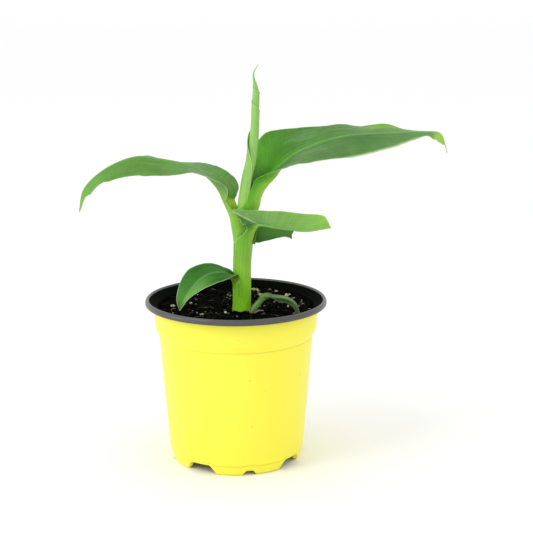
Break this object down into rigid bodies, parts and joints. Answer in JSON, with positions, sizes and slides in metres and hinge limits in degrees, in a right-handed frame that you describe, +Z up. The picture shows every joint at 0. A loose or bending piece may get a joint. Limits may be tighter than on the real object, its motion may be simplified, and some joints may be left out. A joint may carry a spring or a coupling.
{
  "type": "potted banana plant",
  "caption": "Young banana plant in a round yellow nursery pot, with a sheathed stem, broad drooping leaves and a new leaf still rolled.",
  "frame": {"origin": "middle of the whole plant's extent in X and Y, at floor level on the plane of the pot's flat foot; the pot's axis stands 19.5 mm to the left of it", "axes": "+Z up along the pot's axis, -Y towards the front, +X to the right as seen from the front"},
  "size_m": [0.2404, 0.1208, 0.2638],
  "materials": {
    "pot_yellow": "satin",
    "pot_dark": "satin",
    "soil": "matte",
    "stem_green": "satin",
    "leaf_pale": "satin",
    "leaf_green": "satin",
    "leaf_dark": "satin",
    "leaf_withered": "matte"
  },
  "bodies": {
    "root": {"pot": "pot_yellow", "pot_lining": "pot_dark", "soil": "soil", "trunk": "stem_green", "rolled_leaf": "leaf_pale", "right_leaf": "leaf_green", "left_leaf": "leaf_green", "front_leaf": "leaf_pale", "low_leaf": "leaf_dark", "withered_leaf": "leaf_withered"}
  },
  "joints": []
}
